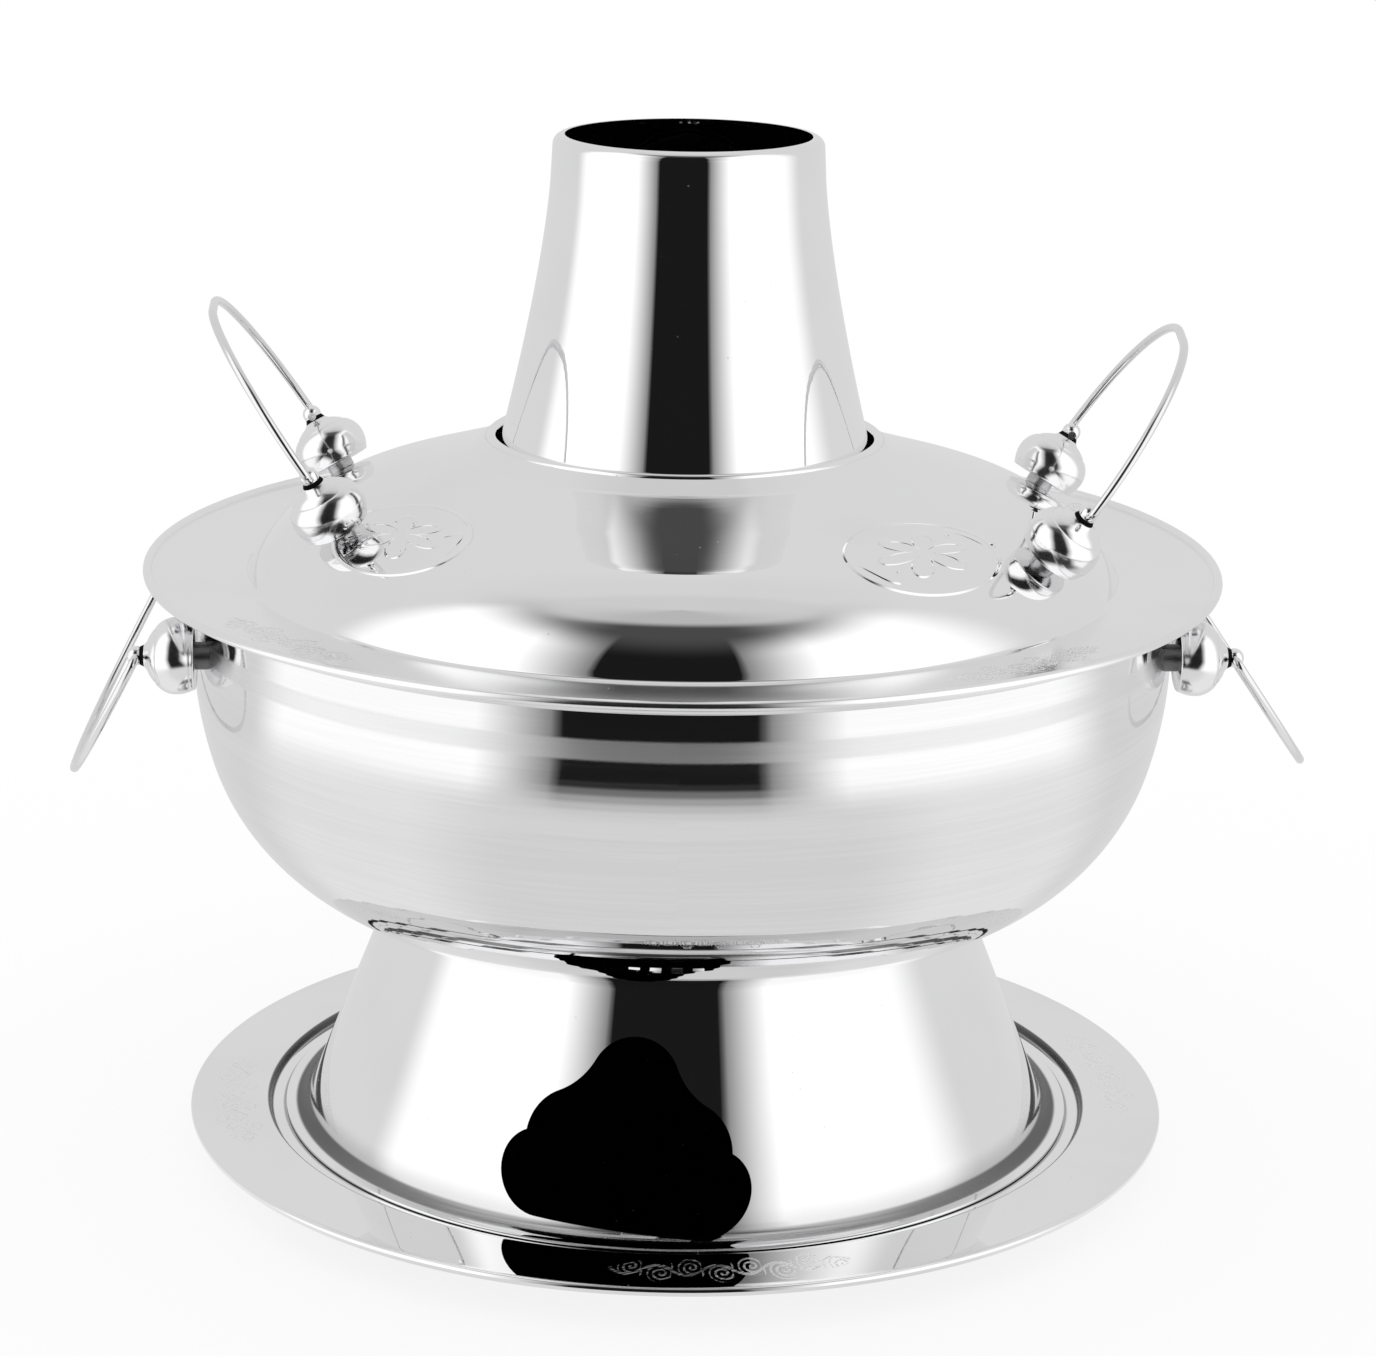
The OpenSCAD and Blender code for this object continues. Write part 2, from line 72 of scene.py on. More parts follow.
POT_TURN = math.radians(2.7)  # of the bowl's bails from the X axis
KNOB_HEIGHT = 0.1648  # of the bowl's knobs, in metres
KNOB_PLACES = {  # azimuth, and slope from upright, of each lid knob in degrees
    "lid_knob_left_front": (180 + 27, 29), "lid_knob_left_back": (180 - 20, 32),
    "lid_knob_right_front": (-27, 38.5), "lid_knob_right_back": (16.5, 33)}
MEDALLIONS = (-51.0, 41.0, 132.0, 226.0)  # azimuths from the front, in degrees

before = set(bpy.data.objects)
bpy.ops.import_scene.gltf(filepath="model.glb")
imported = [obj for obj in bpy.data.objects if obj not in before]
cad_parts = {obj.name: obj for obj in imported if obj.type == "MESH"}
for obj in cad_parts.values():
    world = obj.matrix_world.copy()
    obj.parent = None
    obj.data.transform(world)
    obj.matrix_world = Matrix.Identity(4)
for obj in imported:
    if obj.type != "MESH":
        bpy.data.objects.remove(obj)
CAD_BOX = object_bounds()


def length(name, millimetres, description):
    """A length that the user can change, given in millimetres."""
    return FloatProperty(name=name, default=millimetres * MM, unit="LENGTH", precision=4,
                         description=description)


def angle(name, degrees, description):
    return FloatProperty(name=name, default=math.radians(degrees), unit="ROTATION",
                         description=description)


def colour(name, value, description):
    return FloatVectorProperty(name=name, default=value, subtype="COLOR", min=0, max=1,
                               description=description)


def amount(name, value, description):
    return FloatProperty(name=name, default=value, min=0, max=2, description=description)


class PotSizes(PropertyGroup):
    """Sizes of the turned sheets, as the metal spinner would give them."""
    sheet: length("Sheet", 0.8, "Thickness of the steel sheet")
    tray_d: length("Tray diameter", 2000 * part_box("tray")[1].x, "Over the rolled edge")
    tray_h: length("Tray height", 14, "Upper face of the tray's brim")
    tray_well_d: length("Tray well", 208, "Diameter of the sunk middle")
    tray_ledge_d: length("Tray ledge", 249.4, "Diameter of the ledge that carries the stand")
    tray_step: length("Tray step", 2.2, "How far the ledge lies below the brim")
    stand_foot_d: length("Stand foot", 240.6, "Diameter of the stand's turned-out foot")
    stand_cone_d: length("Stand cone", 227.4, "Diameter of the cone just above the foot")
    stand_top_d: length("Stand top", 174.6, "Diameter of the stand under the bowl")
    bowl_d: length("Bowl diameter", 291.8, "Over the bowl's upright wall")
    bowl_bottom: length("Bowl bottom", 79.2, "Height of the bowl's underside")
    bowl_rim: length("Bowl rim", 179.8, "Height of the bowl's flange")
    tube_foot_d: length("Fire tube foot", 132, "Diameter of the fire tube on the bowl's floor")
    tube_top_d: length("Fire tube top", 107, "Diameter of the fire tube under the sleeve")
    chimney_foot_d: length("Chimney foot", 110.2, "Diameter of the sleeve's foot")
    chimney_top_d: length("Chimney top", 79.2, "Diameter of the sleeve's mouth")
    chimney_base: length("Chimney base", 211.2, "Height of the sleeve's foot")
    chimney_top: length("Chimney rim", 309.5, "Height of the sleeve's mouth")
    lid_d: length("Lid diameter", 320, "Over the lid's rolled edge")
    dome_d: length("Lid dome", 259.6, "Diameter of the dome where it meets the brim")
    knob_d: length("Knob diameter", 22.3, "Widest part of an acorn knob")
    knob_len: length("Knob length", 17, "From the knob's back to the ball's middle")
    wire_d: length("Bail wire", 2.5, "Diameter of the wire")
    bail_h: length("Bail height", 49.5, "From the pins to the grip")
    steps: IntProperty(name="Steps", default=288, min=48, max=512,
                       description="Faces round a turned sheet")


class PotFinish(PropertyGroup):
    """Colours and polish of the metals."""
    mirror: colour("Polished steel", (0.93, 0.93, 0.935), "Tray, stand, chimney sleeve and lid")
    satin: colour("Brushed steel", (0.90, 0.90, 0.905), "Wall of the bowl")
    inner: colour("Satin steel", (0.72, 0.72, 0.73), "Fire tube, lid ring and lid spacers")
    wire: colour("Wire", (0.85, 0.85, 0.86), "The four bails")
    plated: colour("Plated steel", (0.62, 0.62, 0.64), "Screws and washers")
    # The bowl's knob spacers are darkened as painted shade between the knobs and the bowl wall.
    dark: colour("Dark plating", (0.2, 0.2, 0.2), "Spacers of the bowl's knobs")
    iron: colour("Cast iron", (0.035, 0.033, 0.032), "Fire grate")
    soot: colour("Soot", (0.006, 0.006, 0.006), "Inside of the stand and of the fire tube")
    polish: amount("Polish", 0.012, "Roughness of the mirror polish")
    brushing: amount("Brushing", 0.06, "Roughness of the bowl's wall")
    knobs: amount("Knobs", 0.144, "Roughness of the turned knobs")
    wires: amount("Wires", 0.108, "Roughness of the bails")
    etching: amount("Etching", 0.55, "Roughness of the etched scrolls")


class PotStudio(PropertyGroup):
    """Floor, light and camera."""
    floor: colour("Floor", (0.8, 0.8, 0.8), "Colour of the table top")
    ceiling: amount("Ceiling", 0.72, "Level of the room's reflection in the steel")
    softbox: amount("Softboxes", 1.12, "Level of the softboxes' reflection in the steel")
    lens: FloatProperty(name="Lens", default=99.83, description="Focal length in millimetres")
    distance: length("Distance", 1108.17, "From the pot's axis to the camera, level")
    height: length("Camera height", 456.88, "Height of the camera above the table")
    tilt: angle("Tilt", 15.681, "How far the camera looks down")
    roll: angle("Roll", 0.837, "How far the camera leans")


# Shader nodes

class Wire:
    """One output of a shader node. Python's operators on it add Math nodes."""

    def __init__(self, board, node, output=0):
        self.board, self.node, self.socket = board, node, node.outputs[output]

    def output(self, name):
        return Wire(self.board, self.node, name)

    def maths(self, operation, *others):
        return self.board.add("Math", {"operation": operation}, dict(enumerate((self, *others))))

    def __add__(self, other):
        return self.maths("ADD", other)

    __radd__ = __add__

    def __mul__(self, other):
        return self.maths("MULTIPLY", other)

    __rmul__ = __mul__

    def __sub__(self, other):
        return self.maths("SUBTRACT", other)

    def __rsub__(self, other):
        return self.board.add("Math", {"operation": "SUBTRACT"}, {0: other, 1: self})

    def __truediv__(self, other):
        return self.maths("DIVIDE", other)

    def __pow__(self, other):
        return self.maths("POWER", other)

    def __neg__(self):
        return self * -1.0

    def ramp(self, low, high, smooth=True):
        """0 below low and 1 above high, or the other way round where low is the greater."""
        return self.board.add(
            "MapRange", {"interpolation_type": "SMOOTHSTEP" if smooth else "LINEAR"},
            {"Value": self, "From Min": low, "From Max": high})

    def toward(self, other, share):
        """The value drawn toward another by a share of the way."""
        return self * (1.0 - share) + share * other

    def inside(self, low, high, soft):
        """1 between low and high, with soft ends."""
        return self.ramp(low - soft, low + soft) * self.ramp(high + soft, high - soft)

    def either(self, other):
        return self.maths("MAXIMUM", other)

    def folded(self, period):
        """The value within plus or minus half a period round the nearest multiple of it."""
        return (self / period).maths("FRACT") * period - period / 2


class Board:
    """The node tree of one material, or of the world."""

    def __init__(self, tree):
        self.tree = tree
        tree.nodes.clear()

    def add(self, kind, settings=None, inputs=None, output=0):
        """A node of one type: its settings first, then its sockets' values or links."""
        node = self.tree.nodes.new("ShaderNode" + kind)
        for name, value in (settings or {}).items():
            setattr(node, name, value)
        for name, value in (inputs or {}).items():
            if isinstance(value, Wire):
                self.tree.links.new(value.socket, node.inputs[name])
            else:
                node.inputs[name].default_value = value
        return Wire(self, node, output)

    def end(self, kind, shader):
        """Leads a shader to the tree's output."""
        output = self.tree.nodes.new("ShaderNode" + kind)
        self.tree.links.new(shader.socket, output.inputs["Surface"])

    def mixed(self, factor, first, second):
        """Two colours mixed: the Mix node's colours are its sockets 6 and 7, and output 2."""
        return self.add("Mix", {"data_type": "RGBA"}, {0: factor, 6: first, 7: second}, 2)

    def place(self):
        """The object's own coordinates: x, y and z, and the distance from the pot's axis."""
        spot = self.add("TexCoord", output="Object")
        x = self.add("SeparateXYZ", inputs={0: spot})
        y, z = x.output("Y"), x.output("Z")
        return spot, x, y, z, (x * x + y * y).maths("SQRT")

    def noise(self, scale, detail=2.0, **inputs):
        """Noise in three directions, or in one where it is given W."""
        dimensions = "1D" if "W" in inputs else "3D"
        return self.add("TexNoise", {"noise_dimensions": dimensions},
                        {"Scale": scale, "Detail": detail, **inputs})


def grey(value):
    return (value, value, value, 1.0)


def rgba(value):
    return (*value, 1.0)


def new_material(name):
    material = bpy.data.materials.new(name)
    material.use_nodes = True
    return material, Board(material.node_tree)


def finish_material(board, **inputs):
    """Ends a board in a Principled shader. Underscores in the names stand for spaces."""
    shader = board.add("BsdfPrincipled", inputs={
        name.replace("_", " "): value for name, value in inputs.items()})
    board.end("OutputMaterial", shader)


def specks(board, spot, scale, share):
    """Small sparse dots, such as dust: a share of the cells of that scale holds one each."""
    cell = board.add("TexVoronoi", inputs={"Vector": spot, "Scale": scale})
    chance = board.add("SeparateColor", inputs={0: cell.output("Color")})
    return cell.output("Distance").ramp(0.16, 0.08) * chance.maths("LESS_THAN", share)


def polished_steel(name, colour, roughness, decorate=None):
    """Mirror-polished sheet: faint rings from the lathe, hairlines, smears and dust.
    decorate(board, x, y, z, radius) may give masks of etching and of painted shade in the
    corners, and an embossed height."""
    material, board = new_material(name)
    spot, x, y, z, radius = board.place()
    smear = board.noise(18.0, 4.0, Vector=spot).ramp(0.42, 0.75)
    turned = board.noise(520.0, 3.0, W=radius + z * 1.7)
    stretched = board.add("Mapping", inputs={"Vector": spot, "Scale": (260.0, 38.0, 90.0)})
    hairline = board.noise(5.0, 2.0, Vector=stretched).ramp(0.66, 0.72)
    dust = specks(board, spot, 420.0, 0.025)
    etched, painted_shade, raised = decorate(board, x, y, z, radius) if decorate else (None,) * 3
    rough = roughness + smear * 0.01 + hairline * 0.03 + dust * 0.35
    tone = smear * 0.5 + dust
    height = turned * 0.7e-6
    base = board.mixed(tone.maths("MINIMUM", 1.0), rgba(colour),
                       rgba([c * 0.93 for c in colour]))
    if etched:
        frost = bpy.context.scene.pot_finish.etching
        rough = rough.either(etched * frost)
    # Painted shade: where the mask is set, the steel is darkened toward near black and roughened.
    if painted_shade:
        rough = rough + painted_shade * 0.3
        base = board.mixed(painted_shade, base, grey(0.02))
    if raised:
        height = height + raised
    bump = board.add("Bump", inputs={"Height": height, "Strength": 1.0, "Distance": 1.0})
    finish_material(board, Base_Color=base, Metallic=1.0, Roughness=rough, Normal=bump)
    return material


def brushed_steel(name, colour, roughness):
    """Steel brushed round the pot's axis, with polished bands and a polished bottom."""
    material, board = new_material(name)
    spot, x, y, z, radius = board.place()
    angle = x.maths("ARCTAN2", y)
    way = board.add("CombineXYZ", inputs={0: angle * 3.0, 1: z * 900.0, 2: radius * 300.0})
    streak = board.noise(1.0, 3.0, Vector=way)
    band = board.noise(95.0, 2.0, W=z)
    smear = board.noise(14.0, 3.0, Vector=spot)
    dull = z.inside(0.1632, 0.1690, 0.0007) * 0.26 + z.inside(0.1395, 0.1410, 0.0006) * 0.1
    rough = roughness + (streak - 0.5) * 0.05 + (band - 0.5) * 0.06 + (smear - 0.5) * 0.02
    rough = (rough * z.ramp(0.096, 0.125)).maths("MAXIMUM", 0.015) + dull
    base = board.mixed((streak * 0.6 + band * 0.4).ramp(0.35, 0.7),
                       rgba([c * 0.95 for c in colour]), rgba(colour))
    bump = board.add("Bump", inputs={"Height": streak * 0.4e-6, "Strength": 1.0,
                                     "Distance": 1.0})
    finish_material(board, Base_Color=base, Metallic=1.0, Roughness=rough, Anisotropic=0.75,
                    Anisotropic_Rotation=0.25, Normal=bump)
    return material


def dull_metal(name, colour, roughness, grain):
    """Satin, plated or cast metal: an uneven colour with a grain of that scale."""
    material, board = new_material(name)
    spot = board.place()[0]
    fine = board.noise(grain, 4.0, Vector=spot)
    cloud = board.noise(grain / 14, 2.0, Vector=spot)
    base = board.mixed((fine * 0.6 + cloud * 0.6).ramp(0.3, 0.9),
                       rgba([c * 0.7 for c in colour]), rgba(colour))
    bump = board.add("Bump", inputs={"Height": fine, "Strength": 0.35, "Distance": 6e-5})
    finish_material(board, Base_Color=base, Metallic=0.95, Roughness=roughness + cloud * 0.2,
                    Normal=bump)
    return material


def soot(name, colour):
    """The black inside of the stand and the fire tube."""
    material, board = new_material(name)
    spot = board.place()[0]
    flake = board.noise(260.0, 5.0, Vector=spot)
    base = board.mixed(flake.ramp(0.35, 0.8), rgba([c * 0.5 for c in colour]),
                       rgba([c * 1.6 for c in colour]))
    bump = board.add("Bump", inputs={"Height": flake, "Strength": 0.5, "Distance": 1e-4})
    finish_material(board, Base_Color=base, Metallic=0.0, Roughness=0.9,
                    Specular_IOR_Level=0.1, Normal=bump)
    return material


# Ornament of the tray and the lid

def scroll_band(board, x, y, radius, middle, turn, half_length, half_width):
    """Four etched sprays of running scrolls on a flat brim, a quarter turn apart."""
    pitch, sway, curl_off, coil, phase = 0.0085, 0.0021, 0.0013, 0.0017, 0.5
    angle = (x.maths("ARCTAN2", -y) - turn).maths("ADD", math.pi / 4)
    along = (angle + 4 * math.pi).folded(math.pi / 2) * middle
    across = (radius - middle) * 0.68
    taper = 1.0 - (along / half_length) ** 2.0
    wave = (along * (math.pi / pitch)).maths("SINE")
    stem = (across - wave * sway).maths("ABSOLUTE").ramp(0.00075, 0.0004)
    curl_x = along.maths("ADD", phase).folded(pitch)
    curl_y = across + wave.maths("SIGN") * curl_off
    reach = (curl_x * curl_x + curl_y * curl_y).maths("SQRT")
    spin = curl_x.maths("ARCTAN2", curl_y) / (2 * math.pi)
    curl = (reach / coil - spin + 8.0).folded(1.0).maths("ABSOLUTE").ramp(0.27, 0.16)
    curl = curl * reach.ramp(0.0043, 0.0037)
    leaf = board.noise(900.0, 1.0, W=along + across * 2.3).ramp(0.46, 0.6)
    lines = stem.either(curl) * (0.45 + leaf * 0.55)
    window = (taper.ramp(0.0, 0.25) * (taper * half_width
              - across.maths("ABSOLUTE")).ramp(-0.0004, 0.0008))
    return lines * window


def tray_ornament(board, x, y, z, radius):
    """Etched scrolls on the brim, and painted shade: dark lines in the corners of the ledge."""
    on_brim = z.ramp(0.0132, 0.0138)
    etched = scroll_band(board, x, y, radius, 0.1366, math.radians(7), 0.037, 0.0085) * on_brim
    # Painted shade in the step corners of the brim and beside the stand's lip.
    corners = radius.inside(0.1244, 0.1260, 0.0003).either(
        radius.inside(0.1203, 0.1212, 0.0003) * 0.6)
    return etched, corners * beside_front(x, radius), None


def beside_front(x, radius):
    """The painted shade is weaker in front: a share from the sideways place."""
    return (x.maths("ABSOLUTE") / radius) * 0.62 + 0.3


def stand_ornament(board, x, y, z, radius):
    """No ornament, only painted shade: a dark line in the hollow between the cone and the foot,
    fading upward.
    """
    in_hollow = radius.ramp(0.1178, 0.1168)
    # Painted shade: a dark line low in the hollow, and a fainter shade above it.
    line = z.inside(0.0129, 0.0150, 0.0006) * in_hollow
    fade = z.ramp(0.0215, 0.0150) * 0.35 * in_hollow
    return None, (line + fade).maths("MINIMUM", 1.0) * beside_front(x, radius), None


def oval(x, y, z, azimuth, spot_radius, spot_z, slope, half_long, half_wide):
    """Two coordinates on the dome round one medallion, and a distance that is 1 on its edge."""
    a = math.radians(azimuth)
    outward, tangent = (math.sin(a), -math.cos(a)), (math.cos(a), math.sin(a))
    u = (x * tangent[0] + y * tangent[1]) / half_long
    r = x * outward[0] + y * outward[1] - spot_radius
    s = math.radians(slope)
    v = (r * math.cos(s) - (z - spot_z) * math.sin(s)) / half_wide
    return u, v, (u * u + v * v).maths("SQRT")


def lid_ornament(board, x, y, z, radius):
    """Four embossed ovals with a plain flower and waves, and scrolls on a satin brim."""
    sizes = bpy.context.scene.pot_sizes
    height = None
    for azimuth in MEDALLIONS:
        u, v, edge = oval(x, y, z, azimuth, 0.1020, 0.2042, 21.0, 0.0255, 0.0165)
        rim = (edge - 1.0).maths("ABSOLUTE").ramp(0.06, 0.0)
        petal = (v.maths("ARCTAN2", u) * 3.0).maths("COSINE").maths("ABSOLUTE") * 0.42 + 0.18
        bloom = (petal - edge).maths("ABSOLUTE").ramp(0.09, 0.02)
        wave = ((u * 7.0).maths("SINE") * 0.5 - v).maths("ABSOLUTE").ramp(0.12, 0.02)
        leaves = wave * edge.inside(0.62, 0.9, 0.04)
        raised = rim * 4.5e-4 + bloom.either(leaves) * 4.2e-4
        height = raised if height is None else height + raised
    brim = radius.ramp(sizes.dome_d / 2 + 0.001, sizes.dome_d / 2 + 0.002)
    etched = scroll_band(board, x, y, radius, 0.1455, math.radians(41), 0.030, 0.0075) * brim
    return etched.either(brim * 0.27), None, height * (1.0 - brim) + etched * 1.6e-4


# Turned shapes: a profile is a list of (radius, height) in millimetres

def only(kind, parts):
    return [part for part in parts if isinstance(part, kind)]


def middles(bm):
    """Each face, with its middle's distance from the axis and height in millimetres."""
    for face in bm.faces:
        x, y, z = face.calc_center_median() / MM
        yield face, math.hypot(x, y), z


def arc(centre, radius, start, end, steps):
    """Points of an arc between two angles in degrees."""
    angles = [math.radians(start + (end - start) * i / steps) for i in range(steps + 1)]
    return [(centre[0] + radius * math.cos(a), centre[1] + radius * math.sin(a)) for a in angles]


def rounded(points, steps=8):
    """A profile through points of (radius, height, corner radius)."""
    path = [tuple(points[0][:2])]
    for before, point, after in zip(points, points[1:], points[2:]):
        b = Vector(point[:2])
        if len(point) < 3:
            path.append(tuple(b))
            continue
        u = (Vector(before[:2]) - b).normalized()
        v = (Vector(after[:2]) - b).normalized()
        half = math.acos(max(-1.0, min(1.0, u.dot(v)))) / 2
        centre = b + (u + v).normalized() * point[2] / math.sin(half)
        start = b + u * point[2] / math.tan(half) - centre
        end = b + v * point[2] / math.tan(half) - centre
        turn = math.degrees(start.angle_signed(end))
        first = math.degrees(math.atan2(start.y, start.x))
        path += arc(centre, point[2], first, first - turn, steps)
    return path + [tuple(points[-1][:2])]


def eased(path, longest=5.0, lead=0.5):
    """Adds points near the ends of the long straights, so that flats reflect flat."""
    out = [path[0]]
    for a, b in zip(path, path[1:]):
        span = math.dist(a, b)
        if span > 3 * lead:
            inner = [lead / span, 1 - lead / span]
            count = max(1, round((span - 2 * lead) / longest))
            shares = [inner[0] + (inner[1] - inner[0]) * i / count for i in range(count + 1)]
            out += [(a[0] + (b[0] - a[0]) * s, a[1] + (b[1] - a[1]) * s) for s in shares]
        out.append(b)
    return out


def beside(path, offset):
    """The profile moved to its left by offset, mitred at its corners."""
    points = [Vector(p) for p in path]
    legs = [(b - a).normalized() for a, b in zip(points, points[1:])]
    moved = []
    for i, point in enumerate(points):
        a = legs[max(i - 1, 0)]
        b = legs[min(i, len(legs) - 1)]
        side = Vector((-a.y, a.x))
        mitre = (side + Vector((-b.y, b.x))).normalized()
        moved.append(tuple(point + mitre * offset / mitre.dot(side)))
    return moved


def turn(bm, path, steps, closed=True):
    """Turns one profile round the Z axis: a sixteenth by spinning, the rest by doubling."""
    doublings = 4
    parts = 2 ** doublings
    part = bmesh.new()
    verts = [part.verts.new((r * MM, 0.0, z * MM)) for r, z in path]
    pairs = list(zip(verts, verts[1:])) + ([(verts[-1], verts[0])] if closed else [])
    edges = [part.edges.new(pair) for pair in pairs if (pair[0].co - pair[1].co).length > 1e-9]
    share = 2 * math.pi / parts
    bmesh.ops.spin(part, geom=verts + edges, cent=(0, 0, 0), axis=(0, 0, 1), dvec=(0, 0, 0),
                   angle=share, steps=max(1, steps // parts), use_duplicate=False)
    for doubling in range(doublings):
        copied = bmesh.ops.duplicate(part, geom=part.verts[:] + part.edges[:] + part.faces[:])
        bmesh.ops.rotate(part, verts=only(BMVert, copied["geom"]), cent=(0, 0, 0),
                         matrix=Matrix.Rotation(share * 2 ** doubling, 3, "Z"))
    bmesh.ops.remove_doubles(part, verts=part.verts, dist=1e-6)
    mesh = bpy.data.meshes.new("turned")
    part.to_mesh(mesh)
    part.free()
    bm.from_mesh(mesh)
    bpy.data.meshes.remove(mesh)


def turned_sheet(bm, path, thickness, steps):
    """A turned sheet: the profile and its copy one thickness to the side."""
    path = eased(path)
    turn(bm, path + beside(path, thickness)[::-1], steps)


def rolled_edge(bm, radius, height, roll, steps):
    """A closed tube of that roll round the pot's axis."""
    ring = arc((radius, height), roll, 0, 360, 20)[:-1]
    turn(bm, ring, steps)


def build(name, bm, materials):
    """Makes the piece's object, smooth except over its sharp edges."""
    bmesh.ops.recalc_face_normals(bm, faces=bm.faces)
    mesh = bpy.data.meshes.new(name)
    bm.to_mesh(mesh)
    bm.free()
    mesh.shade_smooth()
    mesh.set_sharp_from_angle(angle=SHARP)
    piece = bpy.data.objects.new(name, mesh)
    bpy.context.scene.collection.objects.link(piece)
    for material in materials:
        mesh.materials.append(material)
    return piece


def dress(piece, body, slot, *nodes):
    """Hands a finished piece to its body, in the place of those CAD nodes."""
    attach(piece, body)
    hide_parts(*nodes)


def coat(material, *nodes):
    """Gives CAD nodes that stay as they are their material."""
    for node in nodes:
        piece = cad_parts[node]
        if not piece.material_slots:
            piece.data.materials.append(material)
        for slot in piece.material_slots:
            slot.material = material


def material_named(name, make, *values):
    """The material of that name, made when a piece first asks for it. The imported
    model.glb brings plain materials with the slots' names, so these have names of their own."""
    name = "dressed_" + name
    return bpy.data.materials.get(name) or make(name, *values)


def mirror_polish(name="polished_steel", decorate=None):
    finish = bpy.context.scene.pot_finish
    return material_named(name, polished_steel, finish.mirror, finish.polish, decorate)


def satin_finish():
    finish = bpy.context.scene.pot_finish
    return material_named("satin_steel", dull_metal, finish.inner, 0.24, 900.0)


def soot_coat():
    return material_named("soot", soot, bpy.context.scene.pot_finish.soot)


# Pieces

class HOTPOT_OT_studio(Operator):
    """Make the camera, the table top and the light round it"""
    bl_idname = "hotpot.studio"
    bl_label = "Studio"

    def execute(self, context):
        studio = context.scene.pot_studio
        self.set_camera(context, studio)
        self.light_room(context, studio)
        self.lay_table(context, studio)
        context.scene.view_settings.view_transform = "Standard"
        return {"FINISHED"}

    def set_camera(self, context, studio):
        data = bpy.data.cameras.new("camera")
        data.sensor_fit, data.sensor_width = "HORIZONTAL", 36.0
        data.lens, data.clip_start, data.clip_end = studio.lens, 0.01, 100.0
        camera = bpy.data.objects.new("camera", data)
        place = Matrix.Translation((0.00199, -studio.distance, studio.height))
        aim = Matrix.Rotation(math.pi / 2 - studio.tilt, 4, "X")
        camera.matrix_world = place @ aim @ Matrix.Rotation(studio.roll, 4, "Z")
        context.scene.collection.objects.link(camera)
        context.scene.camera = camera

    def light_room(self, context, studio):
        """The steel sees a pale room with a softbox on each side of a dark camera bay."""
        world = bpy.data.worlds.new("room")
        world.use_nodes = True
        context.scene.world = world
        board = Board(world.node_tree)
        x = board.add("SeparateXYZ", inputs={0: board.add("TexCoord", output="Generated")})
        y, z = x.output("Y"), x.output("Z")
        azimuth = x.maths("ARCTAN2", -y) * TO_DEGREES
        elevation = z.maths("ARCSINE") * TO_DEGREES
        facing = z.maths("ARCTAN2", (x * x * 0.3 + y * y).maths("SQRT")) * TO_DEGREES
        away = (azimuth + 4.0).maths("ABSOLUTE")
        crossbar = away.ramp(30.0, 125.0) * 0.62 + 0.07
        ceiling = away.ramp(40.0, 110.0) * 0.14 + 0.5
        level = self.walls(studio, azimuth, elevation)
        level = level.toward(crossbar, elevation.ramp(54.0, 70.0))
        level = level.toward(ceiling, facing.ramp(76.0, 80.5))
        seen = board.add("LightPath").output("Is Glossy Ray")
        background = board.add("Background", inputs={
            "Color": grey(1.0), "Strength": seen * level + (1.0 - seen)})
        board.end("OutputWorld", background)

    def walls(self, studio, azimuth, elevation):
        """Level of the room's walls in a direction, in degrees from the camera's side: dark
        in the bay, rising over the softboxes, and as pale as the ceiling beyond them."""
        lift = (elevation - 20.0).maths("MAXIMUM", 0.0)
        right, left = azimuth - lift * 0.1 - 17.0, -azimuth - lift * 0.1 - 25.0
        beside_bay = right.either(left)
        sides = right.ramp(-1.5, 1.5, False).either(left.ramp(-1.5, 1.0, False)) * 0.2
        rise = lift * 0.3 + 17.0
        glow = (beside_bay / rise).ramp(0.0, 1.0, False) * (studio.softbox - 0.21)
        edge = azimuth.ramp(107.0, 84.0) * azimuth.ramp(-106.0, -92.0)
        return (sides + glow + 0.01).toward(studio.ceiling, 1.0 - edge)

    def lay_table(self, context, studio):
        bm = bmesh.new()
        bmesh.ops.create_grid(bm, x_segments=1, y_segments=1, size=9.0)
        floor = build("table_top", bm, [self.table_paint(studio)])
        floor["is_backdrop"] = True

    def table_paint(self, studio):
        """Matt paint that reads as the white background, and keeps the pot's shadow."""
        material, board = new_material("table_top")
        spot, x, y, _, radius = board.place()
        mottle = board.noise(3.0, 2.0, Vector=spot)
        base = board.mixed(mottle, rgba(studio.floor), rgba([c * 0.985 for c in studio.floor]))
        paint = board.add("BsdfDiffuse", inputs={"Color": base})
        azimuth = x.maths("ARCTAN2", -y) * TO_DEGREES
        # Painted shadow: near the pot the floor glows darker in the steel's reflections, less so
        # on the sides.
        near = azimuth.maths("ABSOLUTE").inside(45.0, 100.0, 14.0) * 0.12 + 0.72
        mirrored = near.toward(self.walls(studio, azimuth, radius * 0.0),
                               radius.ramp(0.38, 0.58))
        path = board.add("LightPath")
        metal = path.output("Is Glossy Ray")
        open_view = path.output("Is Camera Ray").either(path.output("Is Transmission Ray"))
        glow = board.add("Emission", inputs={
            "Color": grey(1.0), "Strength": metal * mirrored + (1.0 - metal) * 1.07})
        mix = board.add("MixShader", inputs={
            0: metal.either(open_view * 0.75), 1: paint, 2: glow})
        board.end("OutputMaterial", mix)
        return material


